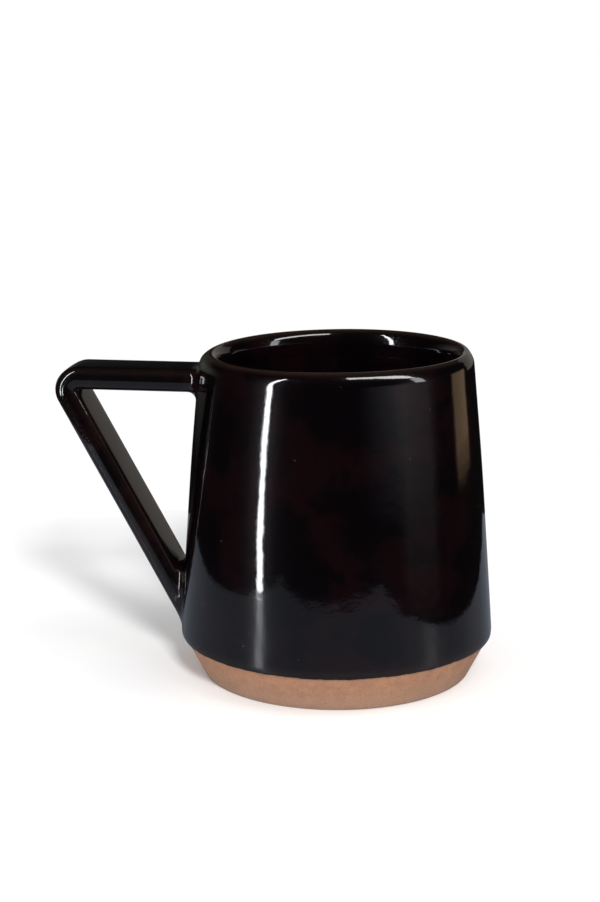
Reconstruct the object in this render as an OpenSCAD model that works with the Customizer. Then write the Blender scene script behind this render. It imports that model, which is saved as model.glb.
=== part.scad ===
// Black-glazed stoneware mug with a tapered wall, a bare clay foot and a triangular strap handle.
// Frame: origin at the centre of the face that the foot stands on, +Z up, handle towards -X.
// Clay and glaze are separate pieces: two clay castings, the slip that lutes them, three glaze coats.

/* [Vessel] */
// Height of the clay at the crest of the lip
clay_height = 88.9; // [80:0.1:100]
// Clay radius where the wall meets the rounded break above the foot
break_radius = 42.6; // [40:0.05:46]
// Height of that point
break_height = 12.05; // [12:0.05:15]
// Lean of the wall at the break, degrees from vertical
wall_lean = 3.5; // [2.5:0.1:4]
// Radius of the wall's slight outward curve
wall_curve_radius = 2200; // [1500:10:5000]
// Lean of the inner wall, degrees from vertical
inner_lean = 4.4; // [4:0.1:4.6]
// Height of the clay floor inside the cup
floor_height = 6.6; // [5:0.1:9]
// Radius between the inner wall and the floor
floor_round = 9; // [5:0.5:14]

/* [Foot and lip] */
// Angle of the chamfer below the break, degrees from vertical
chamfer_angle = 27; // [24:0.5:30]
// Radius of the break itself
break_round = 2.7; // [2:0.1:3.5]
// Radius of the foot's outer edge
foot_round = 0.8; // [0.4:0.1:1.2]
// Depth of the recess under the foot
recess_depth = 1.4; // [0.5:0.1:2]
// Radius of the recess at the standing face
recess_radius = 30; // [24:0.5:32]
// Radius of the lip's outer shoulder
shoulder_round = 4.05; // [3.5:0.05:4.3]
// Radius of the lip's crest
lip_round = 0.6; // [0.5:0.05:0.8]
// Width of the rounding inside the lip
lip_width = 2.8; // [1:0.1:3.2]
// Height of that rounding
lip_drop = 4.6; // [2:0.1:4.8]
// Angle at which the shoulder hands over to the crest
shoulder_sweep = 59.5; // [56:0.5:66]

/* [Glaze] */
// Thickness of every glaze coat
glaze = 0.4; // [0.3:0.05:0.5]
// Height of the lower edge of the glaze, on the chamfer
glaze_line = 10.5; // [9.5:0.1:10.6]
// Depth below the lip at which the outer coat meets the liner
dip_depth = 7; // [5.5:0.5:12]

/* [Handle] */
// Depth of the clay strap, front to back
strap_depth = 15.2; // [9:0.1:16]
// Thickness of the clay strap
strap_thickness = 5.6; // [4.5:0.1:6.5]
// Radius of the strap's long edges
strap_round = 1.5; // [0.8:0.1:2]
// Height of the middle of the level bar
bar_height = 81.2; // [79:0.1:81.5]
// Distance from the mug's axis to the centre of the outer bend
bend_reach = 70.4; // [66:0.1:76]
// Clay radius inside the outer bend
bend_round = 0.7; // [0.6:0.1:2]
// Angle of the sloping bar, degrees from vertical
bar_slope = 28.5; // [28.4:0.05:28.7]

/* [Luting] */
// Spread of the slip round the upper end of the strap
upper_flare = 2.2; // [1:0.1:3]
// Spread of the slip beside the lower end of the strap
lower_flare = 1.8; // [1:0.1:2.5]
// Spread of the slip in the crotch above the lower end
crotch_flare = 4.2; // [2:0.1:5]

/* [Hidden] */
$fn = 240;
clay_color = "#b0805f";
slip_color = "#a87a5c";
outer_color = "#120f12";
liner_color = "#0c0a0c";
handle_color = "#1a1416";
wall_steps = 8;
arc_steps = 8;
edge_steps = 4;
plate = 0.02;

// Centres of the curves that make the outline, as [radius, height].
wall_centre = [break_radius - wall_curve_radius * cos(wall_lean),
               break_height - wall_curve_radius * sin(wall_lean)];
break_centre = [break_radius - break_round * cos(wall_lean),
                break_height - break_round * sin(wall_lean)];
shoulder_z = clay_height - lip_round - (shoulder_round - lip_round) * sin(shoulder_sweep);
wall_top_lean = asin((shoulder_z - wall_centre[1]) / (wall_curve_radius - shoulder_round));
shoulder_centre = [wall_centre[0] + (wall_curve_radius - shoulder_round) * cos(wall_top_lean),
                   shoulder_z];
lip_centre = shoulder_centre
             + (shoulder_round - lip_round) * [cos(shoulder_sweep), sin(shoulder_sweep)];

// The chamfer runs down from the break; the foot's edge is rounded into the standing face.
chamfer_top = break_centre + break_round * [cos(chamfer_angle), -sin(chamfer_angle)];
foot_edge = [chamfer_top[0] - chamfer_top[1] * tan(chamfer_angle)
             - foot_round * tan((90 - chamfer_angle) / 2), foot_round];
glaze_start = [chamfer_top[0] - (chamfer_top[1] - glaze_line) * tan(chamfer_angle), glaze_line];

// The inner wall is straight and widens downwards from the lip.
inner_start = [lip_centre[0] - lip_width + lip_drop * tan(inner_lean), clay_height - lip_drop];
dip_z = clay_height - dip_depth;
dip_point = [inner_start[0] + (inner_start[1] - dip_z) * tan(inner_lean), dip_z];
floor_centre_z = floor_height + floor_round;
floor_centre = [inner_start[0] + (inner_start[1] - floor_centre_z) * tan(inner_lean)
                - floor_round / cos(inner_lean), floor_centre_z];

// The strap's bend, and where the sloping bar's middle line lies.
bend_middle = bend_round + strap_thickness / 2;
bend_z = bar_height - bend_middle;
bar_start = 35.5;
slope_length = 74.5;
slope_section = strap_thickness / sin(bar_slope);
wall_at_bar = 37.2;
wall_at_slope = 42.3;

// The sloping bar enters the bend by a hair, a hair slimmer, so that the two make one solid.
fuse_depth = 0.05;
fuse_inset = 0.01;

function polar(centre, radius, angle) = centre + radius * [cos(angle), sin(angle)];

function arc(centre, radius, from, to, steps) =
    [for (i = [0 : steps]) polar(centre, radius, from + (to - from) * i / steps)];

function reversed(points) = [for (i = [len(points) - 1 : -1 : 0]) points[i]];

// Inside of the lip: a quarter of an ellipse, sheared so that it runs into the leaning wall.
function lip_inside(grow) = [
    for (i = [1 : arc_steps])
        let (turn = 90 + 90 * i / arc_steps, drop = (lip_drop + grow) * (1 - sin(turn)))
            [lip_centre[0] + (lip_width + grow) * cos(turn) + drop * tan(inner_lean),
             clay_height + grow - drop]
];

// Outline from the glaze line, over the lip and down to the dip line, moved outwards by grow.
function outer_path(grow) = concat(
    [glaze_start + grow * [cos(chamfer_angle), -sin(chamfer_angle)]],
    arc(break_centre, break_round + grow, -chamfer_angle, wall_lean, edge_steps),
    arc(wall_centre, wall_curve_radius + grow, wall_lean, wall_top_lean, wall_steps),
    arc(shoulder_centre, shoulder_round + grow, wall_top_lean, shoulder_sweep, arc_steps),
    arc(lip_centre, lip_round + grow, shoulder_sweep, 90, edge_steps),
    lip_inside(grow),
    [dip_point - grow * [cos(inner_lean), sin(inner_lean)]]
);

// Outline from the dip line down to the middle of the floor, moved into the cup by grow.
function inner_path(grow) = concat(
    [dip_point - grow * [cos(inner_lean), sin(inner_lean)]],
    arc(floor_centre, floor_round - grow, inner_lean, -90, arc_steps),
    [[0, floor_height + grow]]
);

function foot_path() = concat(
    [[0, recess_depth], [recess_radius - recess_depth, recess_depth], [recess_radius, 0]],
    arc(foot_edge, foot_round, -90, -chamfer_angle, edge_steps)
);

// Height of the sloping bar's middle line at a distance from the axis.
function slope_z(reach) = bend_z - bend_middle * sin(bar_slope)
    - (bend_reach + bend_middle * cos(bar_slope) - reach) / tan(bar_slope);

// Rectangle with rounded corners, centred, depth along X and height along Y.
module rounded_section(depth, height, radius) {
    x = depth / 2 - radius;
    y = height / 2 - radius;
    polygon(concat(
        arc([x, y], radius, 0, 90, edge_steps),
        arc([-x, y], radius, 90, 180, edge_steps),
        arc([-x, -y], radius, 180, 270, edge_steps),
        arc([x, -y], radius, 270, 360, edge_steps)
    ));
}

module strap_section(grow) {
    rounded_section(strap_depth + 2 * grow, strap_thickness + 2 * grow, strap_round + grow);
}

// The vessel's outside as a filled solid, without its cavity.
module vessel_envelope(grow) {
    rotate_extrude()
        polygon(concat(
            [[0, 0], [foot_edge[0], 0]],
            outer_path(grow),
            [[0, dip_z]]
        ));
}

// The bent strap before it is cut to the vessel: level bar, bend and sloping bar.
module strap(grow) {
    translate([-bend_reach, 0, bar_height])
        rotate([90, 0, 90])
            linear_extrude(height = bend_reach - bar_start)
                strap_section(grow);
    translate([-bend_reach, 0, bend_z])
        rotate([90, 0, 0])
            rotate([0, 0, 90])
                rotate_extrude(angle = 90 + bar_slope)
                    translate([bend_middle, 0])
                        rotate([0, 0, 90])
                            strap_section(grow);
    translate([-bend_reach, 0, bend_z])
        rotate([0, 180 - bar_slope, 0])
            translate([bend_middle, 0, -fuse_depth])
                linear_extrude(height = slope_length)
                    rotate([0, 0, 90])
                        strap_section(grow - fuse_inset);
}

// A thin upright plate across the strap, at a distance from the axis.
module collar_plate(reach, middle_z, depth, height, radius) {
    translate([-reach, 0, middle_z])
        rotate([90, 0, 90])
            linear_extrude(height = plate)
                rounded_section(depth, height, radius);
}

module upper_plate(offset, flare, grow) {
    collar_plate(wall_at_bar + offset, bar_height,
                 strap_depth + 2 * (flare + grow),
                 strap_thickness + 2 * (flare + grow),
                 strap_round + max(flare, 0) + grow);
}

// Flared collar of slip round the level bar.
module upper_collar(grow) {
    hull() {
        upper_plate(-1.8, upper_flare, grow);
        upper_plate(2.6, -0.1, grow);
    }
}

module lower_plate(offset, side, crotch, grow) {
    reach = wall_at_slope + offset;
    lift = crotch - 0.3;
    collar_plate(reach, slope_z(reach) + (lift + 0.3) / 2,
                 strap_depth + 2 * (side + grow),
                 slope_section + lift - 0.3 + 2 * grow,
                 strap_round + grow);
}

// Flared collar of slip beside and above the sloping bar; nothing is added under the bar.
module lower_collar(grow) {
    hull() {
        lower_plate(-2.3, lower_flare, crotch_flare, grow);
        lower_plate(0.8, 0.4 * lower_flare, 0.45 * crotch_flare, grow);
    }
    hull() {
        lower_plate(0.8, 0.4 * lower_flare, 0.45 * crotch_flare, grow);
        lower_plate(3.2, -0.1, -0.2, grow);
    }
}

module clay_body() {
    color(clay_color)
        rotate_extrude()
            polygon(concat(foot_path(), outer_path(0), inner_path(0)));
}

module clay_handle() {
    color(clay_color)
        difference() {
            strap(0);
            vessel_envelope(0);
        }
}

module upper_luting_slip() {
    color(slip_color)
        difference() {
            upper_collar(0);
            strap(0);
            vessel_envelope(0);
        }
}

module lower_luting_slip() {
    color(slip_color)
        difference() {
            lower_collar(0);
            strap(0);
            vessel_envelope(0);
        }
}

module outer_glaze() {
    color(outer_color)
        difference() {
            rotate_extrude()
                polygon(concat(outer_path(0), reversed(outer_path(glaze))));
            strap(0);
            upper_collar(0);
            lower_collar(0);
        }
}

module liner_glaze() {
    color(liner_color)
        rotate_extrude()
            polygon(concat(inner_path(0), reversed(inner_path(glaze))));
}

module handle_glaze() {
    color(handle_color)
        difference() {
            union() {
                strap(glaze);
                upper_collar(glaze);
                lower_collar(glaze);
            }
            strap(0);
            upper_collar(0);
            lower_collar(0);
            vessel_envelope(glaze);
        }
}

clay_body();
clay_handle();
upper_luting_slip();
lower_luting_slip();
outer_glaze();
liner_glaze();
handle_glaze();
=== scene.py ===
"""Black-glazed stoneware mug with a bare clay foot and a triangular strap handle.

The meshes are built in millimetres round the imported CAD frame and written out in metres.
Angles round the mug are measured from -X, where the handle is, towards +Y.
"""
import math

import bmesh
import bpy
import numpy as np
from mathutils import Matrix, Vector


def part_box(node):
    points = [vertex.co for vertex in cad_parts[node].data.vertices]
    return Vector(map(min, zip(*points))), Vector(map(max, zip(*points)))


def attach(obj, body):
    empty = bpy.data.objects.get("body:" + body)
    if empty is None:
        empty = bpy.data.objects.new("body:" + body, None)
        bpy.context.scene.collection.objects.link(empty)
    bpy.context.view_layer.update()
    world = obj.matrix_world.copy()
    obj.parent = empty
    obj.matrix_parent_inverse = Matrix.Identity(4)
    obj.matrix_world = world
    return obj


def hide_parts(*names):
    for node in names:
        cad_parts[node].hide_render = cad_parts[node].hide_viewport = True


MM = 0.001


# ---------------------------------------------------------------- sizes, from the CAD frame

def box_mm(node):
    """Lowest and highest corner of a CAD node, in millimetres."""
    low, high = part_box(node)
    return np.array(low) / MM, np.array(high) / MM


class Sizes:
    """The mug's sizes in millimetres and radians, from the CAD boxes and the design itself."""

    def __init__(self):
        _, clay_high = box_mm("clay_body")
        _, glaze_high = box_mm("outer_glaze")
        _, strap_high = box_mm("clay_handle")
        coat_low, _ = box_mm("handle_glaze")
        self.clay_height = clay_high[2]
        self.glaze = glaze_high[2] - clay_high[2]
        self.glaze_line = 10.5
        self.break_height = 12.05
        self.wall_lean = math.radians(3.5)
        self.wall_curve = 2200.0
        self.chamfer = math.radians(27.0)
        self.break_round = 2.7
        self.foot_round = 0.8
        self.recess_depth = 1.4
        self.recess_radius = 30.0
        self.recess_slope = 2.2
        self.recess_round = 0.9
        self.recess_edge = 0.5
        self.shoulder_round = 4.05
        self.shoulder_sweep = math.radians(59.5)
        self.lip_round = 0.6
        self.lip_width = 2.6
        self.lip_drop = 4.6
        self.inner_lean = math.radians(4.4)
        self.dip_depth = 7.0
        self.floor_height = 6.6
        self.floor_round = 9.0
        self.strap_half_depth = strap_high[1]
        self.strap_half_thickness = 2.8
        self.strap_round = 2.1
        self.bar_height = strap_high[2] - self.strap_half_thickness
        self.bend_inner = 0.7
        self.bend_middle = self.bend_inner + self.strap_half_thickness
        past_bend = self.bend_middle + self.strap_half_thickness + self.glaze
        self.bend_reach = -coat_low[0] - past_bend
        self.bar_slope = math.radians(28.5)
        past_lean = self.break_round * (1 - math.cos(self.wall_lean))
        self.break_radius = glaze_high[1] - self.glaze - past_lean


# ---------------------------------------------------------------- outlines, as (radius, height)

# Steps in each stretch of the vessel's outline, from the recess, over the lip, to the cup's floor.
STEPS = {"recess": 10, "recess_round": 4, "standing": 6, "foot_round": 6, "chamfer": 10,
         "break": 12, "wall": 48, "shoulder": 18, "crest": 6, "lip_inside": 18, "inner_wall": 16,
         "floor_round": 16, "floor": 12}

# How far the line that the outer coat follows runs past the coat's ends: down the chamfer, and
# down the inner wall from where it is straight.
SPARE_CHAMFER = 3.0
SPARE_INSIDE = 8.0
SPARE_STEPS = 8


def polar(centre, radius, angle):
    return np.asarray(centre) + radius * np.array([math.cos(angle), math.sin(angle)])


def arc(centre, radius, start, end, steps):
    return [polar(centre, radius, start + (end - start) * i / steps) for i in range(steps + 1)]


def between(first, last, steps):
    """Points after first, up to and with last, on a straight line."""
    first, last = np.asarray(first), np.asarray(last)
    return [first + (last - first) * i / steps for i in range(1, steps + 1)]


class Path:
    """A line of (radius, height) points, with places along it and normals out of the clay."""

    # How close to an end of a stretch one of the line's own places may be.
    CLOSEST = 0.05

    def __init__(self, points):
        self.points = np.array(points)
        steps = np.diff(self.points, axis=0)
        lengths = np.linalg.norm(steps, axis=1)
        self.along = np.concatenate([[0.0], np.cumsum(lengths)])
        ahead = steps / lengths[:, None]
        ahead = np.concatenate([ahead[:1], (ahead[1:] + ahead[:-1]) / 2, ahead[-1:]])
        ahead /= np.linalg.norm(ahead, axis=1)[:, None]
        self.normals = np.stack([ahead[:, 1], -ahead[:, 0]], -1)

    def at_crest(self):
        return int(np.argmax(self.points[:, 1]))

    def at_height(self, height, crest, rising):
        """Place along the line at a height, before the crest or after it."""
        part = slice(0, crest + 1) if rising else slice(crest, None)
        heights, places = self.points[part, 1], self.along[part]
        if rising:
            return np.interp(height, heights, places)
        return np.interp(-height, -heights, places)

    def stations(self, start, end):
        """The start, the line's own places that are not too close to either end, and the end."""
        inner = (self.along > start + self.CLOSEST) & (self.along < end - self.CLOSEST)
        return np.concatenate([[start], self.along[inner], [end]])

    def offset(self, along, grow):
        """Points at places along the line, moved outwards by grow."""
        point, normal = (np.stack([np.interp(along, self.along, values[:, k]) for k in (0, 1)], -1)
                         for values in (self.points, self.normals))
        normal /= np.linalg.norm(normal, axis=1)[:, None]
        return point + normal * np.broadcast_to(grow, along.shape)[:, None]


class Outline:
    """The vessel's outline, from the same construction as the CAD source, finely stepped."""

    def __init__(self, size):
        self.size = size
        lean = size.wall_lean
        start = np.array([size.break_radius, size.break_height])
        out = np.array([math.cos(lean), math.sin(lean)])
        self.wall_centre = start - size.wall_curve * out
        self.break_centre = start - size.break_round * out
        sweep = size.shoulder_sweep
        reach = size.shoulder_round - size.lip_round
        shoulder_z = size.clay_height - size.lip_round - reach * math.sin(sweep)
        inner = size.wall_curve - size.shoulder_round
        self.top_lean = math.asin((shoulder_z - self.wall_centre[1]) / inner)
        shoulder_r = self.wall_centre[0] + inner * math.cos(self.top_lean)
        self.shoulder_centre = np.array([shoulder_r, shoulder_z])
        self.lip_centre = polar(self.shoulder_centre, reach, sweep)
        self.chamfer_top = polar(self.break_centre, size.break_round, -size.chamfer)
        self.inner_z = size.clay_height - size.lip_drop
        lip_lean = size.lip_drop * math.tan(size.inner_lean)
        self.inner_r = self.lip_centre[0] - size.lip_width + lip_lean
        lowest = self.chamfer_point(size.glaze_line - SPARE_CHAMFER)
        below = between(lowest, self.chamfer_top, SPARE_STEPS)
        inside = between(self.inner_point(self.inner_z),
                         self.inner_point(self.inner_z - SPARE_INSIDE), SPARE_STEPS)
        self.coat_path = Path([lowest] + below + self.upper()[1:] + inside)

    def chamfer_point(self, height):
        """Clay surface of the chamfer at a height."""
        below = self.chamfer_top[1] - height
        return np.array([self.chamfer_top[0] - below * math.tan(self.size.chamfer), height])

    def inner_point(self, height):
        """Clay surface of the inner wall at a height."""
        below = self.inner_z - height
        return np.array([self.inner_r + below * math.tan(self.size.inner_lean), height])

    def upper(self):
        """From the break, up the wall and over the lip, to where the inner wall is straight."""
        size = self.size
        points = arc(self.break_centre, size.break_round,
                     -size.chamfer, size.wall_lean, STEPS["break"])
        points += arc(self.wall_centre, size.wall_curve,
                      size.wall_lean, self.top_lean, STEPS["wall"])[1:]
        points += arc(self.shoulder_centre, size.shoulder_round,
                      self.top_lean, size.shoulder_sweep, STEPS["shoulder"])[1:]
        points += arc(self.lip_centre, size.lip_round,
                      size.shoulder_sweep, math.pi / 2, STEPS["crest"])[1:]
        for i in range(1, STEPS["lip_inside"] + 1):
            angle = math.pi / 2 * (1 + i / STEPS["lip_inside"])
            drop = size.lip_drop * (1 - math.sin(angle))
            lean = drop * math.tan(size.inner_lean)
            points.append(np.array([self.lip_centre[0] + size.lip_width * math.cos(angle) + lean,
                                    size.clay_height - drop]))
        return points

    def foot(self):
        """From the middle of the recess to the chamfer just above the standing face."""
        size = self.size
        edge_r = (self.chamfer_top[0] - self.chamfer_top[1] * math.tan(size.chamfer)
                  - size.foot_round * math.tan((math.pi / 2 - size.chamfer) / 2))
        middle = np.array([0.0, size.recess_depth])
        flat_r = size.recess_radius - size.recess_slope
        side = math.radians(35.0)
        points = [middle] + between(middle, [flat_r, size.recess_depth], STEPS["recess"])
        points += arc([flat_r, size.recess_depth - size.recess_round], size.recess_round,
                      math.pi / 2, side, STEPS["recess_round"])[1:]
        points += arc([size.recess_radius + size.recess_edge, size.recess_edge], size.recess_edge,
                      math.pi + side, math.pi * 1.5, STEPS["recess_round"])
        points += between(points[-1], [edge_r, 0.0], STEPS["standing"])
        points += arc([edge_r, size.foot_round], size.foot_round,
                      -math.pi / 2, -size.chamfer, STEPS["foot_round"])[1:]
        return points

    def floor(self, grow):
        """From the inner wall, round the corner, to the middle of the cup's floor."""
        size = self.size
        centre_z = size.floor_height + size.floor_round
        inwards = np.array([size.floor_round / math.cos(size.inner_lean), 0.0])
        points = arc(self.inner_point(centre_z) - inwards, size.floor_round - grow,
                     size.inner_lean, -math.pi / 2, STEPS["floor_round"])
        return points + between(points[-1], [0.0, size.floor_height + grow], STEPS["floor"])


class VesselSurface:
    """The outside of the vessel, with or without its coat, for the handle to meet."""

    def __init__(self, outline, grow):
        path = outline.coat_path
        self.points = path.offset(path.along[:path.at_crest() + 1], grow)
        steps = np.linalg.norm(np.diff(self.points, axis=0), axis=1)
        self.length = np.concatenate([[0.0], np.cumsum(steps)])

    def radius(self, height):
        return np.interp(height, self.points[:, 1], self.points[:, 0])

    def along(self, height):
        return np.interp(height, self.points[:, 1], self.length)

    def point(self, turn, along):
        r = np.interp(along, self.length, self.points[:, 0])
        z = np.interp(along, self.length, self.points[:, 1])
        return np.array([-r * math.cos(turn), r * math.sin(turn), z])

    def directions(self, turn, along):
        """Unit vectors up the wall, round the mug and out of it."""
        step = 0.15
        up = self.point(turn, along + step) - self.point(turn, along - step)
        up /= np.linalg.norm(up)
        around = np.array([math.sin(turn), math.cos(turn), 0.0])
        return up, around, np.cross(up, around)


# ---------------------------------------------------------------- hand work

# Waves round the mug, each as (count, height in millimetres, phase).
WALL_WAVES = ((2, 0.07, 0.6), (3, 0.04, 2.1), (5, 0.018, 4.0), (7, 0.010, 1.3))
HEIGHT_WAVES = ((1, 0.45, -1.65), (2, 0.12, -1.24), (3, 0.04, 0.4))
GLAZE_EDGE_WAVES = ((2, 0.10, 0.3), (5, 0.07, 1.2), (11, 0.05, 4.4), (23, 0.045, 2.2),
                    (47, 0.04, 0.9), (83, 0.035, 3.1), (131, 0.025, 5.2))
DIP_EDGE_WAVES = ((1, 0.5, 0.8), (3, 0.3, 2.9), (8, 0.12, 1.1), (19, 0.06, 4.5))

# The swell that a thumb left: its direction and spread in radians, then how far it stands out near
# the top and near the break, and the heights over which each part sets in.
SWELL_ANGLE = -1.39
SWELL_SPREAD = 0.25
UPPER_SWELL = 0.35
UPPER_SWELL_ZONE = (55.0, 85.0)
LOWER_SWELL = 0.25
LOWER_SWELL_ZONE = (45.0, 20.0)

# Faint rings round the wall: height, millimetres per radian up the wall, how they wobble round the
# mug, and millimetres per radian over which they come and go.
RING_HEIGHT = 0.035
RING_PITCH = 7.5
RING_WOBBLE = 1.3
RING_FADE = 31.0

# A slight sideways drift along X: height, millimetres per radian, phase.
DRIFT = 0.05
DRIFT_PITCH = 14.0
DRIFT_PHASE = 0.7

# The opening's shift towards +X. It sets in over these heights and, going inwards, these radii.
OPENING_SHIFT = 0.6
OPENING_HEIGHTS = (80.0, 86.0)
OPENING_RADII = (36.5, 34.5)

# Heights over which the hand work sets in above the foot and the rim's rise and fall below the lip,
# and the radius within which both die away towards the axis.
FOOT_ZONE = (0.0, 12.0)
RIM_ZONE = (55.0, 90.0)
CALM = 25.0


def ripple(angle, waves):
    """Sum of the waves at an angle."""
    return sum(height * np.sin(count * angle + phase) for count, height, phase in waves)


def part_way(value, start, end):
    """0 up to start, 1 from end on, and straight in between. End may be the lower of the two."""
    return np.clip((value - start) / (end - start), 0.0, 1.0)


def thumb_swell(angle, z):
    """A shallow swell in the wall's front left, strongest at the top and again near the break."""
    near = np.exp(-((angle - SWELL_ANGLE) / SWELL_SPREAD) ** 2)
    return near * (UPPER_SWELL * part_way(z, *UPPER_SWELL_ZONE) ** 2
                   + LOWER_SWELL * part_way(z, *LOWER_SWELL_ZONE))


def handmade(points):
    """Moves points smoothly, by a millimetre at most, as hand work does. The foot stays flat."""
    moved = np.array(points, float)
    x, y, z = moved[:, 0], moved[:, 1], moved[:, 2]
    radius = np.hypot(x, y) + 1e-9
    angle = np.arctan2(y, -x)
    rise = part_way(z, *FOOT_ZONE) ** 2
    fade = part_way(radius, 0.0, CALM)
    rings = RING_HEIGHT * np.sin(z / RING_PITCH + RING_WOBBLE * np.sin(angle))
    rings *= np.sin(angle * 2 + z / RING_FADE)
    swell = ripple(angle, WALL_WAVES) + rings + thumb_swell(angle, z)
    scale = 1.0 + swell * rise * fade / np.maximum(radius, CALM)
    moved[:, 0] = x * scale
    moved[:, 1] = y * scale + DRIFT * rise * np.sin(x / DRIFT_PITCH + DRIFT_PHASE)
    opening = part_way(z, *OPENING_HEIGHTS) * part_way(radius, *OPENING_RADII)
    moved[:, 0] += OPENING_SHIFT * opening
    moved[:, 2] = z + ripple(angle, HEIGHT_WAVES) * fade * part_way(z, *RIM_ZONE) ** 2
    return moved


# ---------------------------------------------------------------- mesh helpers

def mesh_piece(node, points, faces, material):
    """A smooth mesh object from millimetre points, which stands for its CAD node."""
    name = node + "_visual"
    mesh = bpy.data.meshes.new(name)
    mesh.from_pydata((handmade(points) * MM).tolist(), [], faces)
    work = bmesh.new()
    work.from_mesh(mesh)
    bmesh.ops.recalc_face_normals(work, faces=work.faces)
    work.to_mesh(mesh)
    work.free()
    for polygon in mesh.polygons:
        polygon.use_smooth = True
    mesh.materials.append(material)
    piece = bpy.data.objects.new(name, mesh)
    bpy.context.scene.collection.objects.link(piece)
    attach(piece, "root")
    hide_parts(node)
    return piece


def grid_faces(rows, columns, close_rows=False):
    """Quads of a grid of points, numbered row by row, whose columns go round."""
    faces = []
    for i in range(rows if close_rows else rows - 1):
        here, after = i * columns, (i + 1) % rows * columns
        for j in range(columns):
            k = (j + 1) % columns
            faces.append((here + j, here + k, after + k, after + j))
    return faces


def set_value(piece, name, values):
    """Stores a number at each point of a mesh, for its material to read."""
    attribute = piece.data.attributes.new(name, "FLOAT", "POINT")
    attribute.data.foreach_set("value", np.asarray(values, np.float32))


def revolve(profiles, columns):
    """Grid of points round the axis. profiles(angle) is one column's (radius, height) points."""
    angles = np.arange(columns) * 2 * math.pi / columns
    grid = np.array([profiles(angle) for angle in angles])
    radius, height = grid[:, :, 0].T, grid[:, :, 1].T
    return np.stack([-radius * np.cos(angles), radius * np.sin(angles), height], -1)


def capped(grid):
    """Points and faces of a grid whose first and last rings have shrunk to a point on the axis."""
    rows, columns = grid.shape[:2]
    points = np.concatenate([grid[0, :1], grid[1:-1].reshape(-1, 3), grid[-1, :1]])
    faces = [tuple(i + 1 for i in face) for face in grid_faces(rows - 2, columns)]
    last, ring = len(points) - 1, len(points) - 1 - columns
    for j in range(columns):
        k = (j + 1) % columns
        faces.append((0, 1 + k, 1 + j))
        faces.append((last, ring + j, ring + k))
    return points, faces


# ---------------------------------------------------------------- vessel pieces

VESSEL_COLUMNS = 480

# How deep the back of a coat lies in the clay.
OVERLAP = 0.02

# A coat's edge: the width that it rolls over, and the bead behind it, as shares of the coat's
# thickness and of that width.
EDGE_WIDTH = 0.34
BEAD_HEIGHT = 0.2
BEAD_PLACE = 1.5
BEAD_SPREAD = 1.2

# The step where the dipped coat ends inside the cup: a low ridge, then a drop to the poured coat.
RIDGE_HEIGHT = 0.05
RIDGE_PLACE = 0.6
DROP_HEIGHT = 0.06
DROP_WIDTH = 0.25

# Points across each edge of the outer coat, crowded towards the edge by this power. The coat's back
# has every fifth of its points.
EDGE_POINTS = 18
EDGE_CROWDING = 1.7
BACK_EVERY = 5

# Where the outer coat is thin, from 0 to 1: at the crest of the lip and just below the break, each
# with the height over which it fades.
THIN_CREST = 0.7
THIN_CREST_FADE = 0.6
THIN_BREAK = 0.3
THIN_BREAK_FADE = 1.0
THIN_BREAK_BELOW = 0.4

# The poured coat's upper edge: (height from the dip line, thickness), and the steps below it.
LINER_START = ((0.9, 0.08), (0.5, 0.2), (0.1, 0.32))
LINER_FULL = -0.4
LINER_STEPS = 26


def make_clay_body(outline, material):
    """The clay vessel: foot and recess, chamfer, wall, lip, cavity and floor."""
    size = outline.size
    outside = outline.foot()
    outside += between(outside[-1], outline.chamfer_top, STEPS["chamfer"])
    outside += outline.upper()[1:]
    corner = outline.inner_point(size.floor_height + size.floor_round)
    inside = between(outside[-1], corner, STEPS["inner_wall"])
    profile = np.array(outside + inside[:-1] + outline.floor(0.0))
    points, faces = capped(revolve(lambda angle: profile, VESSEL_COLUMNS))
    mesh_piece("clay_body", points, faces, material)


def rolled(distance):
    """Share of a coat's thickness at a distance from its edge: rounded, then beaded, then even."""
    place = distance / EDGE_WIDTH
    near = np.clip(place, 0.0, 1.0)
    bead = BEAD_HEIGHT * near * np.exp(-((place - BEAD_PLACE) / BEAD_SPREAD) ** 2)
    return np.sqrt(1.0 - (1.0 - near) ** 2) + bead


def dip_height(size, angle):
    """Height at which the outer coat ends inside the cup."""
    return size.clay_height - size.dip_depth + ripple(angle, DIP_EDGE_WAVES)


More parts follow.
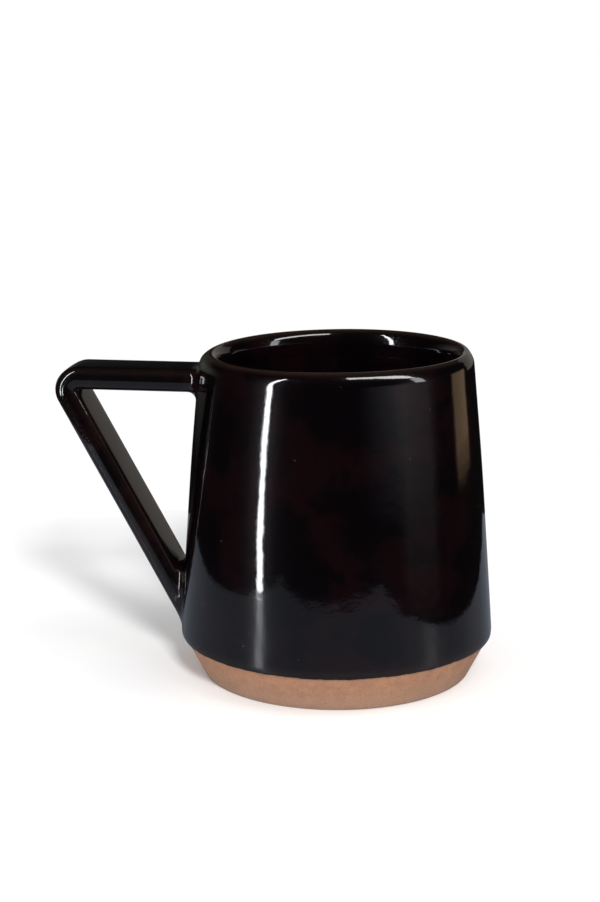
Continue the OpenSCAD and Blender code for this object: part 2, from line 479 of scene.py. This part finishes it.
def make_outer_glaze(outline, material):
    """The dipped coat over the outside and the lip, with a rolled edge at the glaze line."""
    size, path = outline.size, outline.coat_path
    crest = path.at_crest()
    start_of_wall = path.at_height(size.break_height + 1.0, crest, rising=True)
    end_of_lip = path.at_height(size.clay_height - size.lip_drop - 1.0, crest, rising=False)
    middle = path.stations(start_of_wall, end_of_lip)
    line = path.at_height(size.glaze_line, crest, rising=True)
    edge_shares = np.linspace(0.0, 1.0, EDGE_POINTS)[:-1] ** EDGE_CROWDING

    def profile(angle):
        first = line + ripple(angle, GLAZE_EDGE_WAVES)
        last = path.at_height(dip_height(size, angle), crest, rising=False)
        below = first + (start_of_wall - first) * edge_shares
        inside = (last - (last - end_of_lip) * edge_shares)[::-1]
        along = np.concatenate([below, middle, inside])
        left = last - along
        ridge = RIDGE_HEIGHT * np.exp(-((left - RIDGE_PLACE) / RIDGE_PLACE) ** 2)
        drop = DROP_HEIGHT * part_way(left, DROP_WIDTH, 0.0) ** 2
        thick = size.glaze * rolled(along - first) + (ridge - drop)
        thick[0] = -OVERLAP
        face = path.offset(along, thick)
        back = path.offset(along[::-BACK_EVERY], -OVERLAP)
        return np.concatenate([face, back[:-1]])

    grid = revolve(profile, VESSEL_COLUMNS)
    flat = grid.reshape(-1, 3)
    faces = grid_faces(grid.shape[0], VESSEL_COLUMNS, close_rows=True)
    piece = mesh_piece("outer_glaze", flat, faces, material)
    z = flat[:, 2]
    near_crest = np.exp(-((size.clay_height + size.glaze - z) / THIN_CREST_FADE) ** 2)
    near_break = np.exp(-((z - size.break_height + THIN_BREAK_BELOW) / THIN_BREAK_FADE) ** 2)
    thin = THIN_CREST * near_crest + THIN_BREAK * near_break
    set_value(piece, "thin", np.clip(thin, 0.0, 1.0))


def make_liner_glaze(outline, material):
    """The poured coat inside the cup, from under the outer coat's edge to over the floor."""
    size = outline.size
    inward = -np.array([math.cos(size.inner_lean), math.sin(size.inner_lean)])
    corner = outline.inner_point(size.floor_height + size.floor_round)
    floor, under = outline.floor(size.glaze), outline.floor(-OVERLAP)

    def profile(angle):
        edge = dip_height(size, angle)
        top = outline.inner_point(edge + LINER_START[0][0])
        start = outline.inner_point(edge + LINER_FULL)
        face = [outline.inner_point(edge + rise) + inward * thick for rise, thick in LINER_START]
        wall = [start] + between(start, corner, LINER_STEPS)
        face += [point + inward * size.glaze for point in wall[:-1]]
        back = [corner - inward * OVERLAP, top - inward * OVERLAP]
        return np.array(under[::-1] + back + face + floor)

    points, faces = capped(revolve(profile, VESSEL_COLUMNS))
    piece = mesh_piece("liner_glaze", points, faces, material)
    set_value(piece, "thin", np.zeros(len(points)))


# ---------------------------------------------------------------- handle pieces

# Steps along the strap's faces, wide and narrow by turns, and points round each long edge.
SIDE_STEPS = (10, 5)
EDGE_ROUND_POINTS = 9

# How far the middle of each face stands out, and how thin the coat is along the edges, from 0 to 1.
CROWN = 0.10
THIN_EDGES = 0.2

# Steps along the strap: level bar, bend and sloping bar, for the coat and for the clay inside it.
COAT_STEPS = (16, 26, 36)
CLAY_STEPS = (12, 20, 24)
FILLET_STEPS = 12
SLIP_STEPS = 10

# Fillets, for a line on the strap's outer side, its inner side and across it: how far they run up
# the bar and out over the wall.
UPPER_FILLET = ((2.5, 2.5, 2.5), (2.5, 2.4, 2.4))
LOWER_FILLET = ((3.5, 5.2, 4.6), (1.3, 4.6, 2.1))

# Past its landing a coat sinks into the wall: (how far on, how deep).
SINK = ((0.25, 0.05), (0.5, 0.3))

# How far before its landing a fillet's direction is taken from.
LANDING_STEP = 0.2


def strap_section(size, grow):
    """Points round the strap's section: (outwards, sideways) places, normals, share of an edge."""
    thick = size.strap_half_thickness + grow
    deep = size.strap_half_depth + grow
    round_ = size.strap_round + grow
    rows = []
    centres = [np.array([a * (thick - round_), b * (deep - round_)])
               for a, b in ((1, 1), (-1, 1), (-1, -1), (1, -1))]
    for k, centre in enumerate(centres):
        for i in range(EDGE_ROUND_POINTS):
            part = i / (EDGE_ROUND_POINTS - 1)
            angle = math.radians(90.0 * (k + part))
            normal = np.array([math.cos(angle), math.sin(angle)])
            rows.append((centre + round_ * normal, normal, math.sin(math.pi * part)))
        begin, end = centre + round_ * normal, centres[(k + 1) % 4] + round_ * normal
        steps = SIDE_STEPS[k % 2]
        for i in range(1, steps):
            t = i / steps
            rise = CROWN * 4 * t * (1 - t)
            rows.append((begin + (end - begin) * t + rise * normal, normal, 0.0))
    places, normals, edges = (np.array(values) for values in zip(*rows))
    return places, normals, edges


def bezier(p0, p1, p2, p3, t):
    return (1 - t) ** 3 * p0 + 3 * t * (1 - t) ** 2 * p1 + 3 * t * t * (1 - t) * p2 + t ** 3 * p3


def handle_share(one, other):
    """Length of a Bezier handle, as a share of the tangent, that makes a fillet nearly round."""
    turn = math.acos(float(np.clip(np.dot(one, other), -0.999, 0.999)))
    return 4 / 3 * math.tan(turn / 4) / math.tan(turn / 2)


class Strap:
    """The strap's surface for one coat thickness, and how its ends run into the vessel."""

    UPPER, LOWER = "upper", "lower"

    # Distances from the bend between which a bar meets the vessel, and how often they are halved.
    SEARCH_START = 10.0
    SEARCH_END = {UPPER: 45.0, LOWER: 90.0}
    HALVINGS = 50

    def __init__(self, size, vessel, grow):
        self.size, self.vessel = size, vessel
        self.places, self.normals, self.edges = strap_section(size, grow)
        self.turned = math.pi / 2 + size.bar_slope
        self.bend = np.array([-size.bend_reach, 0.0, size.bar_height - size.bend_middle])
        self.side = np.array([0.0, 1.0, 0.0])

    def outward(self, turn):
        return np.array([-math.sin(turn), 0.0, math.cos(turn)])

    def ahead(self, turn):
        return np.array([-math.cos(turn), 0.0, -math.sin(turn)])

    def ring(self, turn):
        """Points of one section, turned round the bend."""
        out = self.outward(turn)
        middle = self.bend + self.size.bend_middle * out
        return middle + self.places[:, :1] * out + self.places[:, 1:] * self.side

    def meets(self, end, index):
        """Where a long line of the bar meets the vessel, and the line's direction into it."""
        if end == self.UPPER:
            into, base = -self.ahead(0.0), self.ring(0.0)[index]
        else:
            into, base = self.ahead(self.turned), self.ring(self.turned)[index]
        low, high = self.SEARCH_START, self.SEARCH_END[end]
        for _ in range(self.HALVINGS):
            mid = (low + high) / 2
            point = base + mid * into
            if math.hypot(point[0], point[1]) > self.vessel.radius(point[2]):
                low = mid
            else:
                high = mid
        return base + low * into, into

    def reaches(self, end, normal):
        """How far the fillet runs up the bar and out over the vessel, for a section normal."""
        shares = (max(normal[0], 0) ** 2, max(-normal[0], 0) ** 2, normal[1] ** 2)
        fillet = UPPER_FILLET if end == self.UPPER else LOWER_FILLET
        return tuple(sum(part * reach for part, reach in zip(shares, row)) for row in fillet)

    def fillet(self, end, index, steps):
        """Points along one long line, from the bar to the vessel and into it, and their corner."""
        corner, into = self.meets(end, index)
        normal = self.normals[index]
        turn = 0.0 if end == self.UPPER else self.turned
        angle = math.atan2(corner[1], -corner[0])
        along = float(self.vessel.along(corner[2]))
        up, around, out = self.vessel.directions(angle, along)
        flat = self.outward(turn) - np.dot(self.outward(turn), out) * out
        flat /= np.linalg.norm(flat)
        spread = normal[0] * flat + normal[1] * self.side
        spread /= np.linalg.norm(spread)
        up_bar, over = self.reaches(end, normal)
        start = corner - up_bar * into

        def on_vessel(distance):
            turned = angle + np.dot(spread, around) * distance / math.hypot(corner[0], corner[1])
            return self.vessel.point(turned, along + np.dot(spread, up) * distance)

        landing = on_vessel(over)
        tangent = landing - on_vessel(over - LANDING_STEP)
        tangent /= np.linalg.norm(tangent)
        share = handle_share(into, tangent)
        leave, arrive = start + into * up_bar * share, landing - tangent * over * share
        curve = [bezier(start, leave, arrive, landing, i / steps) for i in range(steps + 1)]
        inward = -np.array([landing[0], landing[1], 0.0]) / math.hypot(landing[0], landing[1])
        curve += [on_vessel(over + beyond) + inward * depth for beyond, depth in SINK]
        return curve, corner

    def along_bars(self, upper, lower, steps):
        """Rings after the upper end's, round the bend, up to and with the lower end's."""
        level, bend, slope = steps
        rows = between(upper, self.ring(0.0), level)
        rows += [self.ring(self.turned * i / bend) for i in range(1, bend + 1)]
        return rows + between(rows[-1], lower, slope)

    def rows(self):
        """All the rings of points from the upper landing, round the strap, to the lower one."""
        upper, lower = ([self.fillet(end, k, FILLET_STEPS) for k in range(len(self.places))]
                        for end in (self.UPPER, self.LOWER))
        up_wall, down_wall = ([np.array(ring) for ring in zip(*(curve for curve, _ in fillets))]
                              for fillets in (upper, lower))
        between_fillets = self.along_bars(up_wall[0], down_wall[0], COAT_STEPS)
        return up_wall[::-1] + between_fillets[:-1] + down_wall


def make_handle_glaze(size, outside, clay, material):
    """The coat on the strap and its slip: an outer surface, and an inner one on the clay."""
    outer, inner = Strap(size, outside, size.glaze), Strap(size, clay, 0.0)
    rows = outer.rows() + inner.rows()[::-1]
    faces = grid_faces(len(rows), len(outer.places), close_rows=True)
    piece = mesh_piece("handle_glaze", np.concatenate(rows), faces, material)
    set_value(piece, "thin", np.tile(outer.edges ** 2 * THIN_EDGES, len(rows)))


def make_clay_handle(size, clay, material):
    """The clay strap, cut square to the wall, inside its coat."""
    strap = Strap(size, clay, 0.0)
    count = len(strap.places)
    upper, lower = (np.array([strap.meets(end, k)[0] for k in range(count)])
                    for end in (strap.UPPER, strap.LOWER))
    rows = [upper] + strap.along_bars(upper, lower, CLAY_STEPS)
    points = np.concatenate(rows)
    faces = grid_faces(len(rows), count)
    faces.append(tuple(range(count)))
    faces.append(tuple(range(len(points) - count, len(points))))
    mesh_piece("clay_handle", points, faces, material)


def make_slip(name, size, clay, end, material):
    """The ring of slip in the corner between strap and wall."""
    strap = Strap(size, clay, 0.0)
    count = len(strap.places)
    columns = []
    for k in range(count):
        curve, corner = strap.fillet(end, k, SLIP_STEPS)
        columns.append(curve[:SLIP_STEPS + 1] + [corner])
    rows = [np.array(ring) for ring in zip(*columns)]
    faces = grid_faces(len(rows), count, close_rows=True)
    mesh_piece(name, np.concatenate(rows), faces, material)


# ---------------------------------------------------------------- materials

class Nodes:
    """Builds one material's nodes. Most calls add a node and return its output."""

    # A mix node's sockets that serve colours: factor, first and second, and the result.
    MIX_INPUTS = (0, 6, 7)
    MIX_OUTPUT = 2

    def __init__(self, name):
        self.material = bpy.data.materials.new(name)
        self.material.use_nodes = True
        self.tree = self.material.node_tree
        self.shader = next(n for n in self.tree.nodes if n.type == "BSDF_PRINCIPLED")
        self.place = self.add("ShaderNodeTexCoord").outputs["Object"]

    def add(self, kind, **settings):
        node = self.tree.nodes.new(kind)
        for key, value in settings.items():
            setattr(node, key, value)
        return node

    def link(self, output, socket):
        self.tree.links.new(output, socket)

    def noise(self, scale, detail, roughness, warp=0.0):
        node = self.add("ShaderNodeTexNoise")
        node.inputs["Scale"].default_value = scale
        node.inputs["Detail"].default_value = detail
        node.inputs["Roughness"].default_value = roughness
        node.inputs["Distortion"].default_value = warp
        self.link(self.place, node.inputs["Vector"])
        return node.outputs["Fac"]

    def specks(self, scale, size, share):
        """1 in round spots of a size, given in cells, in a share of the cells, and 0 elsewhere."""
        cells = self.add("ShaderNodeTexVoronoi", feature="F1")
        cells.inputs["Scale"].default_value = scale
        self.link(self.place, cells.inputs["Vector"])
        spot = self.ramp(cells.outputs["Distance"], ((0.0, 1.0), (size, 0.0)))
        pick = self.add("ShaderNodeSeparateColor")
        self.link(cells.outputs["Color"], pick.inputs["Color"])
        chosen = self.math("LESS_THAN", pick.outputs["Red"], share)
        return self.math("MULTIPLY", spot, chosen)

    def ramp(self, factor, stops):
        """Colour ramp with (position, grey) or (position, colour) stops."""
        node = self.add("ShaderNodeValToRGB")
        elements = node.color_ramp.elements
        while len(elements) < len(stops):
            elements.new(0.5)
        for element, (position, value) in zip(elements, stops):
            colour = (value, value, value) if isinstance(value, float) else value
            element.position = position
            element.color = (*colour, 1.0)
        self.link(factor, node.inputs["Fac"])
        return node.outputs["Color"]

    def math(self, operation, first, second):
        node = self.add("ShaderNodeMath", operation=operation)
        for socket, value in zip(node.inputs, (first, second)):
            if isinstance(value, (int, float)):
                socket.default_value = value
            else:
                self.link(value, socket)
        return node.outputs["Value"]

    def mix(self, factor, first, second):
        """Mixes two colours, each a tuple or an output, by a factor that is an output."""
        node = self.add("ShaderNodeMix", data_type="RGBA")
        factor_in, first_in, second_in = (node.inputs[i] for i in self.MIX_INPUTS)
        self.link(factor, factor_in)
        for socket, value in ((first_in, first), (second_in, second)):
            if isinstance(value, tuple):
                socket.default_value = (*value, 1.0)
            else:
                self.link(value, socket)
        return node.outputs[self.MIX_OUTPUT]

    def attribute(self, name):
        return self.add("ShaderNodeAttribute", attribute_name=name).outputs["Fac"]

    def bump(self, heights):
        """Chains bumps into the shader's normal: (height, strength, distance in millimetres)."""
        normal = None
        for height, strength, distance in heights:
            node = self.add("ShaderNodeBump")
            node.inputs["Strength"].default_value = strength
            node.inputs["Distance"].default_value = distance * MM
            self.link(height, node.inputs["Height"])
            if normal is not None:
                self.link(normal, node.inputs["Normal"])
            normal = node.outputs["Normal"]
        self.link(normal, self.shader.inputs["Normal"])

    def finish(self, colour, roughness, **sockets):
        """Links colour and roughness, sets the shader's other sockets, returns the material."""
        self.link(colour, self.shader.inputs["Base Color"])
        self.link(roughness, self.shader.inputs["Roughness"])
        for name, value in sockets.items():
            self.shader.inputs[name.replace("_", " ")].default_value = value
        return self.material


def per_mm(size):
    """Texture scale for features of a size in millimetres."""
    return 1.0 / (size * MM)


# The unglazed rim of a pinhole.
PINHOLE = (0.05, 0.042, 0.036)

# Height in millimetres up to which the clay is ashy, and how far mottling shifts it.
ASH_HEIGHT = 10.0
ASH_DRIFT = 6.0

# Painted shade: the darker, bluer colour that reflections see in place of the pale board's own.
BOARD_PAINTED_REFLECTION_SHADE = (0.18, 0.205, 0.25)


def glaze_material(name, dark, warm, thin_colour):
    """Glossy near-black glaze: maroon in patches, brown where thin, pebbled, with pinholes."""
    nodes = Nodes(name)
    clouds = nodes.noise(per_mm(16.0), detail=5.0, roughness=0.62, warp=0.6)
    waves = nodes.noise(per_mm(7.0), detail=2.0, roughness=0.5)
    pebbles = nodes.noise(per_mm(1.5), detail=3.0, roughness=0.6)
    fine = nodes.noise(per_mm(0.6), detail=4.0, roughness=0.6)
    pits = nodes.specks(per_mm(5.5), size=0.06, share=0.28)
    dust = nodes.specks(per_mm(1.5), size=0.12, share=0.16)
    patches = nodes.math("MULTIPLY", nodes.ramp(clouds, ((0.46, 0.0), (0.58, 1.0))),
                         nodes.ramp(fine, ((0.3, 0.5), (0.7, 1.0))))
    thin = nodes.math("MULTIPLY", nodes.attribute("thin"),
                      nodes.ramp(fine, ((0.3, 0.4), (0.7, 1.0))))
    colour = nodes.mix(thin, nodes.mix(patches, dark, warm), thin_colour)
    colour = nodes.mix(pits, colour, PINHOLE)
    roughness = nodes.math("ADD", nodes.ramp(fine, ((0.35, 0.04), (0.75, 0.08))),
                           nodes.math("MULTIPLY", pits, 0.3))
    nodes.bump(((waves, 0.4, 0.12), (pebbles, 0.3, 0.035), (fine, 0.25, 0.012), (dust, 0.6, 0.04),
                (pits, -0.9, 0.15)))
    return nodes.finish(colour, roughness, IOR=1.5, Specular_IOR_Level=0.48,
                        Coat_Weight=0.07, Coat_Roughness=0.28, Coat_IOR=1.5)


def clay_material(name, light, dark, ash, speck):
    """Bare fired clay: matt, mottled and sandy, and ashier towards the standing face."""
    nodes = Nodes(name)
    mottle = nodes.noise(per_mm(3.5), detail=6.0, roughness=0.75)
    grain = nodes.noise(per_mm(0.5), detail=3.0, roughness=0.7)
    sand = nodes.specks(per_mm(0.8), size=0.34, share=0.4)
    grog = nodes.specks(per_mm(1.9), size=0.2, share=0.3)
    split = nodes.add("ShaderNodeSeparateXYZ")
    nodes.link(nodes.place, split.inputs["Vector"])
    height = nodes.math("ADD", split.outputs["Z"], nodes.math("MULTIPLY", mottle, ASH_DRIFT * MM))
    low = nodes.ramp(nodes.math("MULTIPLY", height, per_mm(ASH_HEIGHT)), ((0.2, 0.9), (1.0, 0.0)))
    colour = nodes.mix(nodes.ramp(mottle, ((0.36, 0.0), (0.64, 1.0))), light, dark)
    colour = nodes.mix(low, colour, ash)
    colour = nodes.mix(nodes.ramp(grain, ((0.35, 0.0), (0.7, 0.75))), colour, dark)
    colour = nodes.mix(nodes.math("MULTIPLY", sand, 0.6), colour, speck)
    colour = nodes.mix(nodes.math("MULTIPLY", grog, 0.8), colour, speck)
    roughness = nodes.ramp(grain, ((0.3, 0.78), (0.8, 0.95)))
    nodes.bump(((mottle, 0.3, 0.1), (grain, 0.5, 0.05), (sand, -0.5, 0.06)))
    return nodes.finish(colour, roughness, IOR=1.5, Specular_IOR_Level=0.3)


def board_material():
    """Pale, faintly glossy board. Its mirror image in the glaze is painted shade: a darker, bluer
    colour.
    """
    nodes = Nodes("board")
    clouds = nodes.noise(per_mm(60.0), detail=2.0, roughness=0.5)
    wear = nodes.noise(per_mm(15.0), detail=3.0, roughness=0.5)
    tone = nodes.ramp(clouds, ((0.3, (0.86, 0.86, 0.87)), (0.7, (0.88, 0.88, 0.88))))
    # Painted shade: glossy rays see the board darker and bluer than it is.
    mirrored = nodes.add("ShaderNodeLightPath").outputs["Is Glossy Ray"]
    tone = nodes.mix(mirrored, tone, BOARD_PAINTED_REFLECTION_SHADE)
    roughness = nodes.ramp(wear, ((0.3, 0.36), (0.7, 0.42)))
    return nodes.finish(tone, roughness, Specular_IOR_Level=0.3)


# ---------------------------------------------------------------- stage, camera and light

# Camera: place and clipping in metres, heading from +X towards +Y, dip below level, roll, and lens
# and sensor in millimetres.
CAMERA_PLACE = Vector((0.0709, -0.5172, 0.1818))
CAMERA_HEADING = math.radians(98.9)
CAMERA_DIP = math.radians(13.0)
CAMERA_ROLL = math.radians(0.23)
LENS = 78.2
SENSOR = 36.0
CLIP = (0.01, 20.0)


def camera_axes():
    """The camera's right, up and forward directions."""
    forward = Vector((math.cos(CAMERA_HEADING) * math.cos(CAMERA_DIP),
                      math.sin(CAMERA_HEADING) * math.cos(CAMERA_DIP), -math.sin(CAMERA_DIP)))
    level = Vector((math.sin(CAMERA_HEADING), -math.cos(CAMERA_HEADING), 0.0))
    right = level * math.cos(CAMERA_ROLL) + forward.cross(level) * math.sin(CAMERA_ROLL)
    return right, right.cross(forward), forward


def make_camera():
    right, up, forward = camera_axes()
    data = bpy.data.cameras.new("camera")
    data.lens, data.sensor_width = LENS, SENSOR
    data.clip_start, data.clip_end = CLIP
    camera = bpy.data.objects.new("camera", data)
    turned = Matrix((right, up, -forward)).transposed().to_4x4()
    camera.matrix_world = Matrix.Translation(CAMERA_PLACE) @ turned
    bpy.context.scene.collection.objects.link(camera)
    bpy.context.scene.camera = camera


def round_from_camera(right_of_it):
    """Level direction from the mug, some degrees to the right of the one towards the camera."""
    turn = math.atan2(CAMERA_PLACE.y, CAMERA_PLACE.x) + math.radians(right_of_it)
    return Vector((math.cos(turn), math.sin(turn), 0.0))


# The board's edges from the mug's axis, as the camera sees them, in metres.
BOARD_FRONT = 0.22
BOARD_BACK = 0.17
BOARD_LEFT = 0.178
BOARD_RIGHT = 0.13
BOARD_THICK = 0.012
BOARD_BEVEL = 0.0015
BOARD_SIDES = ((0, 1, 2, 3), (4, 5, 6, 7), (0, 1, 5, 4), (1, 2, 6, 5), (2, 3, 7, 6), (3, 0, 4, 7))


def make_board():
    """The pale board that the mug stands on, square to the camera, with softened edges."""
    ahead, right = round_from_camera(0.0), round_from_camera(90.0)
    corners = ((-BOARD_LEFT, -BOARD_BACK), (BOARD_RIGHT, -BOARD_BACK),
               (BOARD_RIGHT, BOARD_FRONT), (-BOARD_LEFT, BOARD_FRONT))
    mesh = bpy.data.meshes.new("board")
    work = bmesh.new()
    for height in (-BOARD_THICK, 0.0):
        for across, depth in corners:
            work.verts.new(right * across + ahead * depth + Vector((0.0, 0.0, height)))
    work.verts.ensure_lookup_table()
    for side in BOARD_SIDES:
        work.faces.new([work.verts[i] for i in side])
    bmesh.ops.recalc_face_normals(work, faces=work.faces)
    bmesh.ops.bevel(work, geom=work.edges[:], offset=BOARD_BEVEL, segments=3, affect="EDGES",
                    profile=0.5)
    work.to_mesh(mesh)
    work.free()
    mesh.materials.append(board_material())
    board = bpy.data.objects.new("board", mesh)
    bpy.context.scene.collection.objects.link(board)


# Lights, as the mug sees them. Directions are in degrees to the right of the camera, elevations in
# degrees above EYE, a height in metres. Each has its left and right ends, its lower and upper
# edges, the direction that its plane is square to, its distance in metres, radiance and colour.
EYE = 0.045
WHITE = (1.0, 0.99, 0.98)
LIGHTS = {
    "key": ((7.5, 19.5), (28, 40), 13.5, 2.5, 84.0, WHITE),
    "left_glow": ((-105, -45), (2, 14), -75, 1.2, 5.0, WHITE),
    "side_glow": ((30, 90), (45, 70), 60, 0.8, 2.9, WHITE),
    "window": ((12, 72), (55.5, 65), 4, 0.5, 14.0, WHITE),
    "window_side": ((64, 74), (8, 30), 69, 0.6, 6.0, WHITE),
    "strip": ((-58.7, -54.3), (-11, 52), -56.5, 0.42, 30.0, (0.93, 0.96, 1.0)),
    "side_panel": ((44, 86), (-14, 20), 66, 0.7, 0.17, (1.0, 0.86, 0.86)),
    "upper_glow": ((14, 96), (-6.5, 12), 64, 0.6, 0.5, (0.9, 0.93, 1.0)),
    "warm_panel": ((103, 129), (-8, 12), 116, 0.6, 0.75, (1.0, 0.66, 0.40)),
    "left_fill": ((-178, -100), (-10, 25), -140, 0.8, 0.16, (0.98, 1.0, 0.88)),
    "back_card": ((135, 182), (-2, 26), 158, 0.9, 0.26, (1.0, 0.93, 0.84)),
}

# Lights that light matt surfaces. The others are seen in reflections only.
SHADOW_CASTERS = ("key", "left_glow", "side_glow")

# Lights that fade towards their edges, and over how much of the way out from the middle.
SOFT_EDGES = {"side_panel": 0.5, "upper_glow": 1.0, "warm_panel": 0.3, "left_fill": 0.8}


def soften(data, share):
    """Fades a rectangular light towards its edges, over a share of the way out from its middle.

    The fade is the distance to the edge over share, at most 1. Across, it is squared.
    """
    data.use_nodes = True
    nodes, links = data.node_tree.nodes, data.node_tree.links
    emission = next(node for node in nodes if node.type == "EMISSION")
    split = nodes.new("ShaderNodeSeparateXYZ")
    links.new(nodes.new("ShaderNodeNewGeometry").outputs["Parametric"], split.inputs["Vector"])
    both = nodes.new("ShaderNodeMath")
    both.operation = "MULTIPLY"
    for axis, power, socket in (("X", 2.0, both.inputs[0]), ("Y", 1.0, both.inputs[1])):
        value = split.outputs[axis]
        for operation, factor, addend, clamp in (("MULTIPLY_ADD", 2.0, -1.0, False),
                                                 ("ABSOLUTE", 0.0, 0.0, False),
                                                 ("MULTIPLY_ADD", -1.0 / share, 1.0 / share, True),
                                                 ("POWER", power, 0.0, False)):
            step = nodes.new("ShaderNodeMath")
            step.operation = operation
            step.use_clamp = clamp
            step.inputs[1].default_value, step.inputs[2].default_value = factor, addend
            links.new(value, step.inputs[0])
            value = step.outputs[0]
        links.new(value, socket)
    links.new(both.outputs[0], emission.inputs["Strength"])


def make_light(name, ends, edges, square_to, distance, radiance, colour):
    """A rectangular light in an upright plane, which spans these angles as the mug sees them."""
    left, right = (distance * math.tan(math.radians(end - square_to)) for end in ends)
    low, high = (distance * math.tan(math.radians(edge)) for edge in edges)
    ahead, across = round_from_camera(square_to), round_from_camera(square_to + 90.0)
    data = bpy.data.lights.new(name, "AREA")
    data.shape = "RECTANGLE"
    data.size, data.size_y = right - left, high - low
    data.color = colour
    data.energy = radiance * math.pi * data.size * data.size_y
    if name in SOFT_EDGES:
        soften(data, SOFT_EDGES[name])
    light = bpy.data.objects.new(name, data)
    middle = Vector((0.0, 0.0, EYE + (low + high) / 2))
    light.location = ahead * distance + across * (left + right) / 2 + middle
    light.rotation_mode = "QUATERNION"
    light.rotation_quaternion = (-ahead).to_track_quat("-Z", "Y")
    light.visible_camera = False
    light.visible_glossy = name not in SHADOW_CASTERS
    light.visible_diffuse = name in SHADOW_CASTERS
    bpy.context.scene.collection.objects.link(light)


# Brightness of the surroundings: the dark room that reflections see, and what is added to it for
# the camera and for matt surfaces.
ROOM = 0.006
AMBIENT = {"Is Camera Ray": 1.0, "Is Diffuse Ray": 0.74}


def make_world():
    """White for the camera, soft light from all round on matt surfaces, dark in reflections."""
    world = bpy.data.worlds.new("studio")
    world.use_nodes = True
    tree = world.node_tree
    tree.nodes.clear()
    output = tree.nodes.new("ShaderNodeOutputWorld")
    background = tree.nodes.new("ShaderNodeBackground")
    background.inputs["Color"].default_value = (1.0, 1.0, 1.0, 1.0)
    path = tree.nodes.new("ShaderNodeLightPath")
    level = None
    for ray, brightness in AMBIENT.items():
        step = tree.nodes.new("ShaderNodeMath")
        step.operation = "MULTIPLY_ADD"
        step.inputs[1].default_value = brightness
        step.inputs[2].default_value = ROOM
        tree.links.new(path.outputs[ray], step.inputs[0])
        if level is not None:
            tree.links.new(level, step.inputs[2])
        level = step.outputs[0]
    tree.links.new(level, background.inputs["Strength"])
    tree.links.new(background.outputs[0], output.inputs["Surface"])
    bpy.context.scene.world = world


def make_stage():
    make_camera()
    make_board()
    make_world()
    for name, settings in LIGHTS.items():
        make_light(name, *settings)
    bpy.context.scene.view_settings.view_transform = "Standard"


# ---------------------------------------------------------------- the mug

# The glaze where it is thin.
BROWN = (0.022, 0.013, 0.009)


def make_mug():
    """The seven pieces. The two castings share their material, and so do the two rings of slip."""
    size = Sizes()
    outline = Outline(size)
    on_clay, on_glaze = VesselSurface(outline, 0.0), VesselSurface(outline, size.glaze)
    clay = clay_material("bare_clay", light=(0.36, 0.185, 0.105), dark=(0.25, 0.13, 0.08),
                         ash=(0.275, 0.195, 0.15), speck=(0.09, 0.06, 0.045))
    slip = clay_material("luting_slip", light=(0.35, 0.17, 0.10), dark=(0.26, 0.13, 0.08),
                         ash=(0.29, 0.18, 0.12), speck=(0.10, 0.06, 0.045))
    outer = glaze_material("outer_black_glaze", dark=(0.0011, 0.0006, 0.0010),
                           warm=(0.0038, 0.0010, 0.0014), thin_colour=BROWN)
    liner = glaze_material("liner_black_glaze", dark=(0.0012, 0.0007, 0.0010),
                           warm=(0.0040, 0.0013, 0.0016), thin_colour=BROWN)
    strap = glaze_material("handle_black_glaze", dark=(0.0013, 0.0008, 0.0011),
                           warm=(0.0050, 0.0017, 0.0018), thin_colour=BROWN)
    make_clay_body(outline, clay)
    make_outer_glaze(outline, outer)
    make_liner_glaze(outline, liner)
    make_clay_handle(size, on_clay, clay)
    make_slip("upper_luting_slip", size, on_clay, Strap.UPPER, slip)
    make_slip("lower_luting_slip", size, on_clay, Strap.LOWER, slip)
    make_handle_glaze(size, on_glaze, on_clay, strap)


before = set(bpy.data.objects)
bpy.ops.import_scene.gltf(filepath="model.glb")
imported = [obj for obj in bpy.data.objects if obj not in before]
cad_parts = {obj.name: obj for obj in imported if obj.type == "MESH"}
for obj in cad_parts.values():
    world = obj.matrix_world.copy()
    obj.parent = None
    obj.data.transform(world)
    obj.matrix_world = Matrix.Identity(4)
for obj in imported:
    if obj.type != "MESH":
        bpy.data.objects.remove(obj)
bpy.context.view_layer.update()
make_stage()
make_mug()
